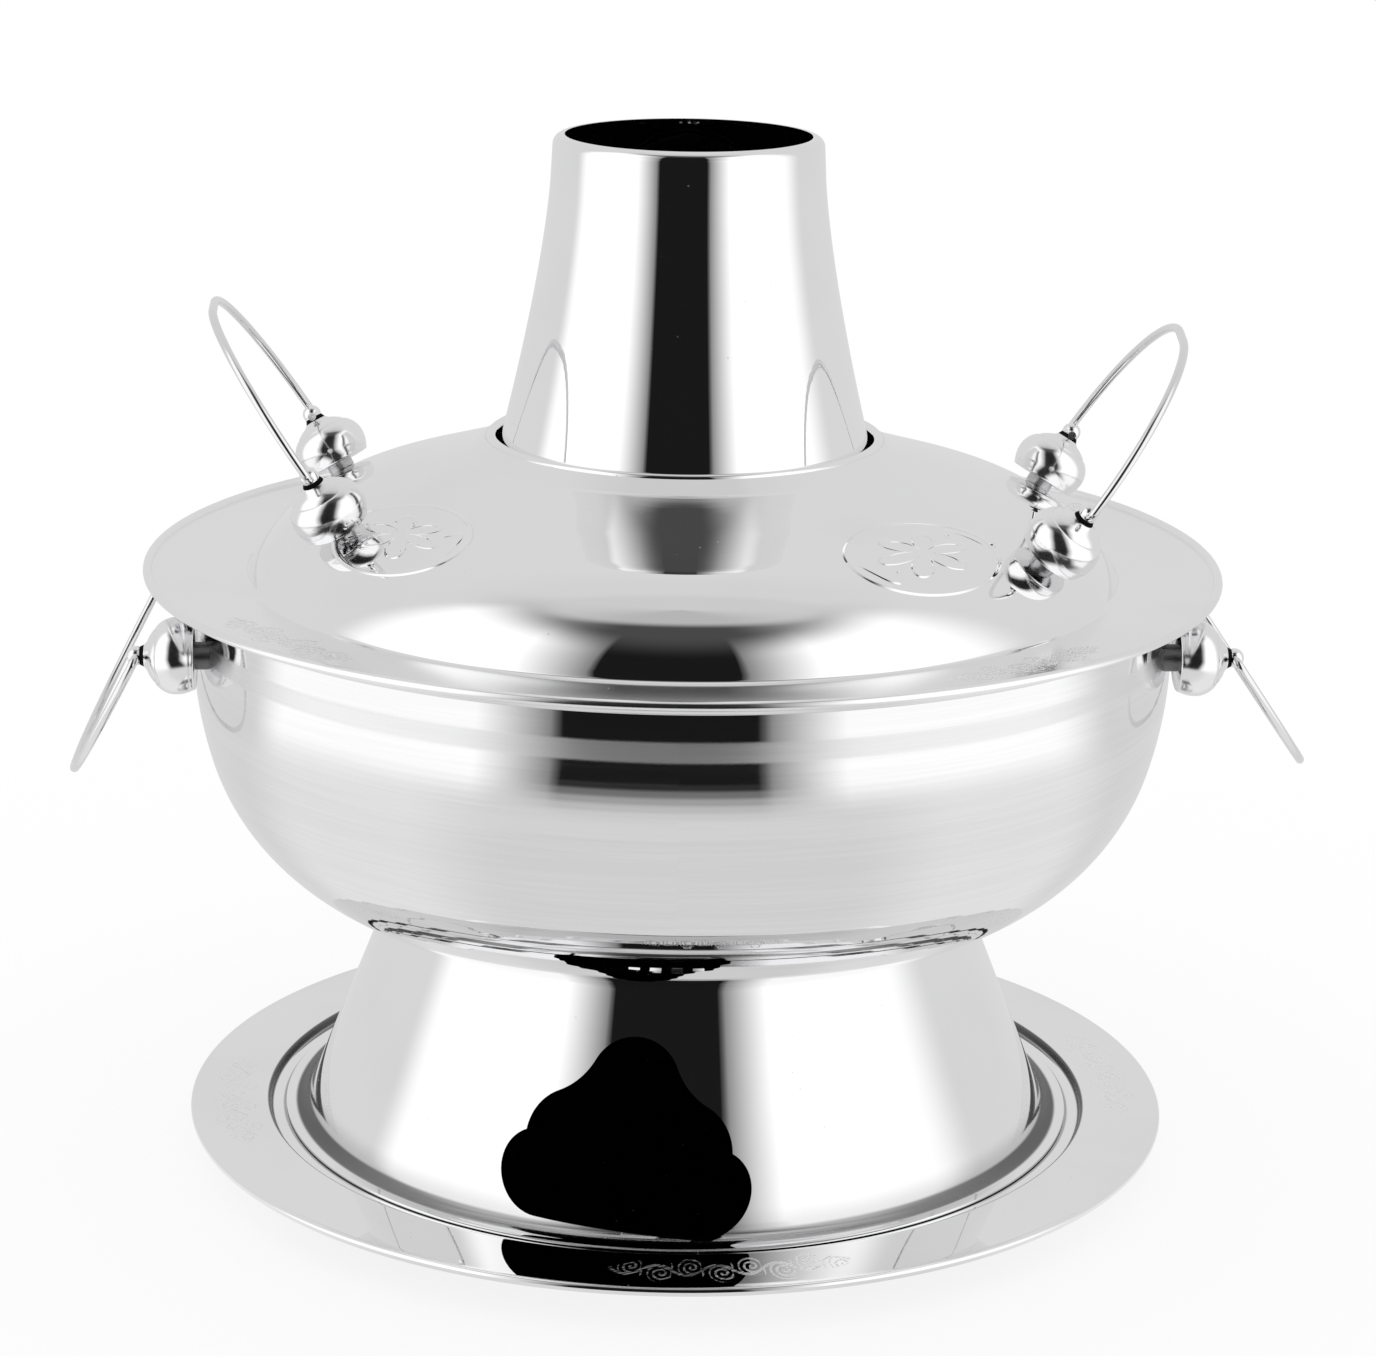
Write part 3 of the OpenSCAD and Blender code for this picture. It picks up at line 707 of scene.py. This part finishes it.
class HOTPOT_OT_tray(Operator):
    """Turn the tray: a flat brim with a rolled edge round a sunk middle"""
    bl_idname = "hotpot.tray"
    bl_label = "Tray"

    def execute(self, context):
        sizes = context.scene.pot_sizes
        sheet, height = sizes.sheet / MM, sizes.tray_h / MM
        edge, well = sizes.tray_d / 2 / MM, sizes.tray_well_d / 2 / MM
        ledge, ledge_z = sizes.tray_ledge_d / 2 / MM, height - sizes.tray_step / MM
        roll = 1.3
        path = rounded([(edge - roll, height - 0.2), (ledge + 0.9, height, 1.0),
                        (ledge, ledge_z, 0.7), (well + 4.0, ledge_z, 1.5),
                        (well, sheet, 3.0), (0.0, sheet)])
        bm = bmesh.new()
        turned_sheet(bm, path, sheet, sizes.steps)
        rolled_edge(bm, edge - roll, height - 1.15, roll, sizes.steps)
        polish = mirror_polish("polished_tray", tray_ornament)
        dress(build("tray_sheet", bm, [polish]), "tray", "polished_steel", "tray")
        return {"FINISHED"}


class HOTPOT_OT_stand(Operator):
    """Turn the conical stand and cut its cloud-shaped air door"""
    bl_idname = "hotpot.stand"
    bl_label = "Stand"
    door_turn, door_tilt, sill = -8.0, 3.0, 1.7

    def execute(self, context):
        sizes = context.scene.pot_sizes
        sheet = sizes.sheet / MM
        foot, cone, top = (d / 2 / MM for d in (
            sizes.stand_foot_d, sizes.stand_cone_d, sizes.stand_top_d))
        low = (sizes.tray_h - sizes.tray_step) / MM + SEAT_GAP + sheet
        high = sizes.bowl_bottom / MM
        path = rounded([(foot, low), (cone, low, 6.0), (top, high, 1.0), (top - 18, high)])
        bm = bmesh.new()
        turned_sheet(bm, path, sheet, sizes.steps)
        slope = (cone - top) / (high - low)
        for face, out, z in middles(bm):
            inner = out < cone - (z - low) * slope - sheet * 0.6
            face.material_index = int(inner and z > low + 0.1)
        polish = mirror_polish("polished_stand", stand_ornament)
        solid = build("stand_cone", bm, [polish, soot_coat()])
        cutter = self.door_cutter(low + self.sill)
        cut = solid.modifiers.new("door", "BOOLEAN")
        cut.operation, cut.solver, cut.object = "DIFFERENCE", "EXACT", cutter
        context.view_layer.update()
        mesh = bpy.data.meshes.new_from_object(
            solid.evaluated_get(context.evaluated_depsgraph_get()))
        solid.modifiers.clear()
        solid.data = mesh
        bpy.data.objects.remove(cutter)
        self.true_cone(mesh, slope)
        dress(solid, "pot", "polished_steel", "stand")
        return {"FINISHED"}

    def outline(self):
        """The cloud: a round top, a lobe on each side and a wider one at each foot."""
        top, middle, foot = (0.0, 37.9), (14.5, 20.2), (24.6, 11.6)
        top_r, middle_r, foot_r, waist_r = 13.1, 15.4, 11.6, 22.0
        waist = self.meeting(top, top_r + waist_r, middle, middle_r + waist_r)
        cusp = self.meeting(middle, middle_r, foot, foot_r)
        half = (arc(foot, foot_r, -90.0, self.bearing(foot, cusp), 24)
                + arc(middle, middle_r, self.bearing(middle, cusp),
                      self.bearing(middle, waist), 16)[1:]
                + arc(waist, waist_r, self.bearing(waist, middle),
                      self.bearing(waist, top), 12)[1:]
                + arc(top, top_r, self.bearing(top, waist), 90.0, 20)[1:])
        turn = Matrix.Rotation(math.radians(-self.door_tilt), 2)
        return [turn @ Vector(p) for p in half + [(-x, y) for x, y in half[-2::-1]]]

    def bearing(self, a, b):
        """The direction from a to b, in degrees."""
        return math.degrees(math.atan2(b[1] - a[1], b[0] - a[0]))

    def meeting(self, a, a_radius, b, b_radius):
        """Where two circles meet, to the left of the way from a to b."""
        gap = math.dist(a, b)
        along = (a_radius ** 2 - b_radius ** 2 + gap ** 2) / (2 * gap)
        u = ((b[0] - a[0]) / gap, (b[1] - a[1]) / gap)
        up = math.sqrt(a_radius ** 2 - along ** 2)
        return (a[0] + u[0] * along - u[1] * up, a[1] + u[1] * along + u[0] * up)

    def door_cutter(self, sill):
        """The cloud pushed through the front wall, from 55 to 135 mm before the axis."""
        bm = bmesh.new()
        verts = [bm.verts.new((x * MM, -0.055, (y + sill) * MM)) for x, y in self.outline()]
        face = bm.faces.new(verts)
        pushed = bmesh.ops.extrude_face_region(bm, geom=[face])
        bmesh.ops.translate(bm, verts=only(BMVert, pushed["geom"]), vec=(0.0, -0.08, 0.0))
        bmesh.ops.rotate(bm, verts=bm.verts, cent=(0, 0, 0),
                         matrix=Matrix.Rotation(math.radians(self.door_turn), 3, "Z"))
        return build("door_cutter", bm, [])

    def true_cone(self, mesh, slope):
        """Sets the cone's own normals, so that the cut leaves the reflections alone."""
        mesh.shade_smooth()
        mesh.set_sharp_from_angle(angle=SHARP)
        normals = [Vector((0, 0, 0))] * len(mesh.loops)
        lean = 1 / math.hypot(1, slope)
        for polygon in mesh.polygons:
            away = Vector((polygon.center.x, polygon.center.y, 0)).normalized()
            cone = Vector((away.x, away.y, slope)) * lean
            side = polygon.normal.dot(cone)
            if abs(side) < 0.9995:
                continue
            for loop in polygon.loop_indices:
                spot = mesh.vertices[mesh.loops[loop].vertex_index].co
                away = Vector((spot.x, spot.y, 0)).normalized()
                normals[loop] = Vector((away.x, away.y, slope)) * math.copysign(lean, side)
        mesh.normals_split_custom_set(normals)


class HOTPOT_OT_bowl(Operator):
    """Turn the bowl, with its rolled rim and the hole in its floor"""
    bl_idname = "hotpot.bowl"
    bl_label = "Bowl"

    def execute(self, context):
        sizes = context.scene.pot_sizes
        finish = context.scene.pot_finish
        sheet = sizes.sheet / MM
        wall, bottom, rim = sizes.bowl_d / 2 / MM, sizes.bowl_bottom / MM, sizes.bowl_rim / MM
        heel, shoulder, split = 65.7, 118.0, 16.6  # two radii, and where they meet in degrees
        bend, hole, sooted, roll = 1.2, 57.0, 84, 1.5
        heel_z = bottom + heel
        wall_z = heel_z + (shoulder - heel) * math.sin(math.radians(split))
        heel_c = wall - shoulder + (shoulder - heel) * math.cos(math.radians(split))
        path = ([(wall + FLANGE, rim - sheet)]
                + arc((wall + bend, rim - sheet - bend), bend, 90, 180, 8)
                + arc((wall - shoulder, wall_z), shoulder, 0, -split, 16)
                + arc((heel_c, heel_z), heel, -split - 2, -90, 40) + [(hole, bottom)])
        bm = bmesh.new()
        turned_sheet(bm, path, -sheet, sizes.steps)
        rolled_edge(bm, wall + FLANGE, rim - 0.4, roll, sizes.steps)
        for face, out, z in middles(bm):
            if out < sooted and z < bottom + 0.3:
                face.material_index = 1
        brushed = material_named("brushed_steel", brushed_steel, finish.satin,
                                 finish.brushing)
        dress(build("bowl_sheet", bm, [brushed, soot_coat()]), "pot", "brushed_steel", "bowl")
        return {"FINISHED"}


class HOTPOT_OT_fire_tube(Operator):
    """Turn the fire tube with its spigot, and coat the grate"""
    bl_idname = "hotpot.fire_tube"
    bl_label = "Fire Tube and Grate"

    def execute(self, context):
        sizes = context.scene.pot_sizes
        sheet = sizes.sheet / MM
        foot, top = sizes.tube_foot_d / 2 / MM, sizes.tube_top_d / 2 / MM
        low, seat = sizes.bowl_bottom / MM + 2 * sheet, sizes.chimney_base / MM - SEAT_GAP
        spigot, spigot_top, spigot_h = 49.9, 47.3, 26
        path = rounded([(foot + 7, low), (foot + 0.2, low, 1.5), (top, seat, 0.9),
                        (spigot, seat, 0.5), (spigot_top, seat + spigot_h)])
        bm = bmesh.new()
        turned_sheet(bm, path, sheet, sizes.steps)
        for face, out, z in middles(bm):
            wall = foot + (z - low) * (top - foot) / (seat - low)
            face.material_index = int(out < wall - sheet / 2)
        dress(build("fire_tube_sheet", bm, [satin_finish(), soot_coat()]), "pot",
              "satin_steel", "fire_tube")
        coat(material_named("grate_iron", dull_metal, context.scene.pot_finish.iron, 0.6,
                            420.0), "fire_grate")
        return {"FINISHED"}


class HOTPOT_OT_chimney(Operator):
    """Turn the chimney sleeve, narrowing to a rolled mouth"""
    bl_idname = "hotpot.chimney"
    bl_label = "Chimney"

    def execute(self, context):
        sizes = context.scene.pot_sizes
        foot, mouth = sizes.chimney_foot_d / 2 / MM, sizes.chimney_top_d / 2 / MM
        base, top = sizes.chimney_base / MM, sizes.chimney_top / MM
        inner, lip, gain, curve = 50.5, 3.0, 0.4, 1.37
        neck, straight = top - 10.5, base + 5.0
        span = foot + 0.3 - mouth - gain

        def side(z):
            return mouth + gain + span * ((neck - z) / (neck - straight)) ** curve

        path = rounded([(inner, base), (foot, base, 1.0), (foot, straight)])
        path += [(min(side(z), foot - 0.01 * i), z) for i, z in
                 ((i, straight + (neck - straight) * i / 32) for i in range(1, 33))]
        path += arc((mouth - lip, top - lip), lip, 0, 100, 14)
        bm = bmesh.new()
        turned_sheet(bm, path, sizes.sheet / MM, sizes.steps)
        dress(build("chimney_sheet", bm, [mirror_polish()]), "chimney", "polished_steel",
              "chimney")
        return {"FINISHED"}


def brim_corner(sizes):
    """Radius and height of the corner between the lid's dome and its brim."""
    dome, roll = sizes.dome_d / 2 / MM, 1.4
    drop = (sizes.bowl_d / 2 / MM + FLANGE - dome) * BRIM_SLOPE
    return dome, sizes.bowl_rim / MM + roll + sizes.sheet / MM - drop


class HOTPOT_OT_lid(Operator):
    """Turn the ring-shaped lid, its two rolled edges and the ring under it"""
    bl_idname = "hotpot.lid"
    bl_label = "Lid"

    def execute(self, context):
        sizes = context.scene.pot_sizes
        sheet, slope, roll = sizes.sheet / MM, BRIM_SLOPE, 1.35
        edge = sizes.lid_d / 2 / MM - roll
        dome, brim = brim_corner(sizes)
        edge_z = brim + (edge - dome) * slope
        collar_r, collar_z, collar_roll = 57.3, brim + 39.4, 1.6
        lip, lip_z = collar_r + 1.9, collar_z + 0.4
        hem, rise, low_slope, high_slope = 5.0, 3.7, 16.3, 19.7
        flare = [math.radians(low_slope + (high_slope - low_slope) * i / 18) for i in range(19)]
        last, bend = math.radians(high_slope), 372.0
        path = rounded([(edge, edge_z), (dome, brim, 1.5), (dome - 0.55, brim + 0.9)])
        path += arc((dome - DOME_IN, brim - DOME_DOWN), DOME_BEND, 30, 74, 36)
        path += [(lip + hem + bend * (math.sin(last) - math.sin(s)),
                  lip_z - rise - bend * (math.cos(s) - math.cos(last)))
                 for s in flare] + [(lip, lip_z)]
        bm = bmesh.new()
        turned_sheet(bm, path, sheet, sizes.steps)
        rolled_edge(bm, edge, edge_z, roll, sizes.steps)
        rolled_edge(bm, collar_r, collar_z, collar_roll, sizes.steps)
        polish = mirror_polish("polished_lid", lid_ornament)
        dress(build("lid_sheet", bm, [polish]), "lid", "polished_steel", "lid")
        ring, ring_h, lap = 143.7, 9, 4
        under = brim - sheet / math.cos(math.atan(slope))
        ring_z = under + (ring - dome) * slope
        path = rounded([(dome + lap, under + lap * slope), (ring, ring_z, 1.0),
                        (ring, ring_z - ring_h)])
        bm = bmesh.new()
        turned_sheet(bm, path, -sheet, sizes.steps)
        dress(build("lid_ring_sheet", bm, [satin_finish()]), "lid", "satin_steel", "lid_ring")
        return {"FINISHED"}


def frame_along(outward):
    """A turn that lays +Z along a direction."""
    return outward.to_track_quat("Z", "Y").to_matrix().to_4x4()


def lid_knob_point(name, height):
    """A point of a lid knob's axis, at that height in millimetres over the dome."""
    azimuth, slope = (math.radians(a) for a in KNOB_PLACES[name])
    dome, brim = brim_corner(bpy.context.scene.pot_sizes)
    radius = dome - DOME_IN + (DOME_BEND + height) * math.sin(slope)
    z = brim - DOME_DOWN + (DOME_BEND + height) * math.cos(slope)
    return Vector((radius * math.cos(azimuth), radius * math.sin(azimuth), z))


def pot_back():
    """How far from the pot's middle plane the backs of its own knobs stand."""
    sizes, spacer = bpy.context.scene.pot_sizes, 0.36
    near = KNOB_SPREAD - sizes.knob_d / 2 / MM + KNOB_CHAMFER
    return math.sqrt((sizes.bowl_d / 2 / MM) ** 2 - near ** 2) + spacer


class HOTPOT_OT_knobs(Operator):
    """Turn the eight acorn knobs that carry the bails"""
    bl_idname = "hotpot.knobs"
    bl_label = "Knobs"

    def execute(self, context):
        finish = context.scene.pot_finish
        steel = material_named("knob_steel", polished_steel, finish.mirror, finish.knobs)
        gap = soot_coat()
        for side, side_name in ((-1, "left"), (1, "right")):
            for end, end_name in ((-1, "front"), (1, "back")):
                turn_z = POT_TURN + (math.pi if side < 0 else 0.0)
                place = (Matrix.Rotation(turn_z, 4, "Z")
                         @ Matrix.Translation((0, side * end * KNOB_SPREAD * MM, KNOB_HEIGHT))
                         @ Matrix.Rotation(math.pi / 2, 4, "Y")
                         @ Matrix.Translation((0, 0, pot_back() * MM)))
                self.knob(f"pot_knob_{side_name}_{end_name}", place, "pot", [steel, gap])
                name = f"lid_knob_{side_name}_{end_name}"
                low = lid_knob_point(name, KNOB_FOOT)
                high = lid_knob_point(name, KNOB_FOOT + 10)
                place = Matrix.Translation(low * MM) @ frame_along(high - low)
                self.knob(name, place, "lid", [steel, gap])
        return {"FINISHED"}

    def knob(self, node, place, body, steels):
        """One acorn: a turned cap with a dark neck, and the ball that holds the wire."""
        sizes = bpy.context.scene.pot_sizes
        r, reach = sizes.knob_d / 2 / MM, sizes.knob_len / MM
        back, neck, ball_r = r - KNOB_CHAMFER, 14.8, 2.8
        path = ([(0.0, 0.0), (back, 0.0)] + arc((back, 0.8), 0.8, -60, -15, 5)
                + arc((r - 10.18, 5.5), 10.18, -27, 0, 12) + arc((r - 7.2, 5.5), 7.2, 5, 52.3, 16)
                + [(r - 3.15, 11.2), (r - 3.9, 12.1), (5.6, 13.2), (4.1, 13.9), (3.2, 14.7),
                   (2.52, reach - 0.9), (0.0, reach - 0.9)])
        bm = bmesh.new()
        turn(bm, path, 96)
        for face, _, z in middles(bm):
            face.material_index = int(z > neck)
        ball = bmesh.ops.create_uvsphere(bm, u_segments=48, v_segments=24,
                                         radius=ball_r * MM)
        bmesh.ops.translate(bm, verts=ball["verts"], vec=(0, 0, reach * MM))
        bmesh.ops.transform(bm, matrix=place, verts=bm.verts)
        dress(build(node + "_acorn", bm, steels), body, "knob_steel", node)


class HOTPOT_OT_bails(Operator):
    """Bend the four wire bails"""
    bl_idname = "hotpot.bails"
    bl_label = "Bails"

    def execute(self, context):
        finish = context.scene.pot_finish
        wire = material_named("wire_steel", polished_steel, finish.wire, finish.wires)
        reach = context.scene.pot_sizes.knob_len / MM
        stand_up = Matrix.Rotation(math.pi / 2, 4, "Z") @ Matrix.Rotation(math.pi / 2, 4, "X")
        for side, name, lean in ((-1, "left", 27.5), (1, "right", 34.5)):
            place = (Matrix.Rotation(POT_TURN + (math.pi if side < 0 else 0.0), 4, "Z")
                     @ Matrix.Translation(((pot_back() + reach) * MM, 0, KNOB_HEIGHT))
                     @ Matrix.Rotation(math.radians(180 - lean), 4, "Y"))
            self.bail(f"pot_bail_{name}", place @ stand_up, KNOB_SPREAD, wire)
        for side, name in ((-1, "left"), (1, "right")):
            ends = [lid_knob_point(f"lid_knob_{name}_{end}", KNOB_FOOT + reach)
                    for end in ("front", "back")]
            a, b = ends if side > 0 else ends[::-1]
            line = (b - a).normalized()
            place = (Matrix.Translation((a + b) / 2 * MM)
                     @ Matrix.Rotation(math.atan2(line.y, line.x) - math.pi / 2, 4, "Z")
                     @ Matrix.Rotation(math.asin(line.z), 4, "X")
                     @ Matrix.Rotation(math.radians(34), 4, "Y"))
            self.bail(f"lid_bail_{name}", place @ stand_up, (b - a).length / 2, wire)
        return {"FINISHED"}

    def bail(self, node, place, tip, wire):
        """One bail in the XY plane, pins on the X axis and grip at +Y, then placed."""
        sizes = bpy.context.scene.pot_sizes
        radius, height = sizes.wire_d / 2 / MM, sizes.bail_h / MM
        bend, pin, shank = 2.2, 4.2, 5.2
        half = tip + shank
        corner = min(46.0, height - bend - 1, half - 1)
        bm = bmesh.new()
        ring = bmesh.ops.create_circle(bm, cap_ends=False, radius=radius * MM, segments=20)
        bmesh.ops.rotate(bm, verts=ring["verts"], cent=(0, 0, 0),
                         matrix=Matrix.Rotation(math.pi / 2, 3, "Y"))
        bmesh.ops.translate(bm, verts=ring["verts"], vec=((tip - pin) * MM, 0, 0))
        end = list(dict.fromkeys(edge for v in ring["verts"] for edge in v.link_edges))
        start = list(end)
        for way, centre, steps in (
                ((shank + pin - bend, 0), (half - bend, bend), 10),
                ((0, height - corner - bend), (half - corner, height - corner), 28),
                ((-2 * (half - corner), 0), (corner - half, height - corner), 28),
                ((0, corner + bend - height), (bend - half, bend), 10)):
            end = self.bent(bm, self.straight(bm, end, way, 2), centre, steps)
        end = self.straight(bm, end, (shank + pin - bend, 0), 2)
        for loop in (start, end):
            bmesh.ops.holes_fill(bm, edges=loop, sides=0)
        bmesh.ops.transform(bm, matrix=place, verts=bm.verts)
        dress(build(node + "_wire", bm, [wire]), node, "wire_steel", node)

    def straight(self, bm, edges, way, steps):
        """Draws the wire on by that way, and gives its new end."""
        for _ in range(steps):
            out = bmesh.ops.extrude_edge_only(bm, edges=edges)["geom"]
            bmesh.ops.translate(bm, verts=only(BMVert, out),
                                vec=(way[0] * MM / steps, way[1] * MM / steps, 0))
            edges = only(BMEdge, out)
        return edges

    def bent(self, bm, edges, centre, steps):
        """Bends the wire on by a quarter turn round a centre, and gives its new end."""
        out = bmesh.ops.spin(bm, geom=edges, cent=(centre[0] * MM, centre[1] * MM, 0),
                             axis=(0, 0, 1), dvec=(0, 0, 0), angle=math.pi / 2, steps=steps,
                             use_merge=False, use_duplicate=False)["geom_last"]
        return only(BMEdge, out)


class HOTPOT_OT_fasteners(Operator):
    """Coat the spacers, screws and washers of the knobs"""
    bl_idname = "hotpot.fasteners"
    bl_label = "Fasteners"

    def execute(self, context):
        finish = context.scene.pot_finish
        plated = material_named("screw_steel", dull_metal, finish.plated, 0.25, 1400.0)
        # Painted shade: the bowl's knob spacers are darkened to stand for the shade between knob
        # and bowl.
        dark = material_named("spacer_painted_shade", dull_metal, finish.dark, 0.3, 1400.0)
        for owner, spacer in (("pot", dark), ("lid", satin_finish())):
            coat(spacer, f"{owner}_knob_spacers")
            coat(plated, f"{owner}_knob_screws", f"{owner}_knob_washers")
        return {"FINISHED"}


OPERATORS = (HOTPOT_OT_studio, HOTPOT_OT_tray, HOTPOT_OT_stand, HOTPOT_OT_bowl,
             HOTPOT_OT_fire_tube, HOTPOT_OT_chimney, HOTPOT_OT_lid, HOTPOT_OT_knobs,
             HOTPOT_OT_bails, HOTPOT_OT_fasteners)
GROUPS = {"pot_sizes": PotSizes, "pot_finish": PotFinish, "pot_studio": PotStudio}


class HOTPOT_PT_panel(Panel):
    """Lists the pot's pieces and their settings"""
    bl_idname = "HOTPOT_PT_panel"
    bl_label = "Chimney Hot Pot"
    bl_space_type = "VIEW_3D"
    bl_region_type = "UI"
    bl_category = "Hot Pot"

    def draw(self, context):
        for operator in OPERATORS:
            self.layout.operator(operator.bl_idname)
        for name, group in GROUPS.items():
            box = self.layout.box()
            for prop in group.__annotations__:
                box.prop(getattr(context.scene, name), prop)


def register():
    for cls in (*GROUPS.values(), *OPERATORS, HOTPOT_PT_panel):
        bpy.utils.register_class(cls)
    for name, group in GROUPS.items():
        setattr(bpy.types.Scene, name, PointerProperty(type=group))


def unregister():
    for name in GROUPS:
        delattr(bpy.types.Scene, name)
    for cls in reversed((*GROUPS.values(), *OPERATORS, HOTPOT_PT_panel)):
        bpy.utils.unregister_class(cls)


def main():
    register()
    for operator in OPERATORS:
        group, name = operator.bl_idname.split(".")
        getattr(getattr(bpy.ops, group), name)()
    boxes = {"cad": CAD_BOX, "visual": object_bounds()}
    {name: [list(corner) for corner in box] for name, box in boxes.items()}


if __name__ == "__main__":
    main()
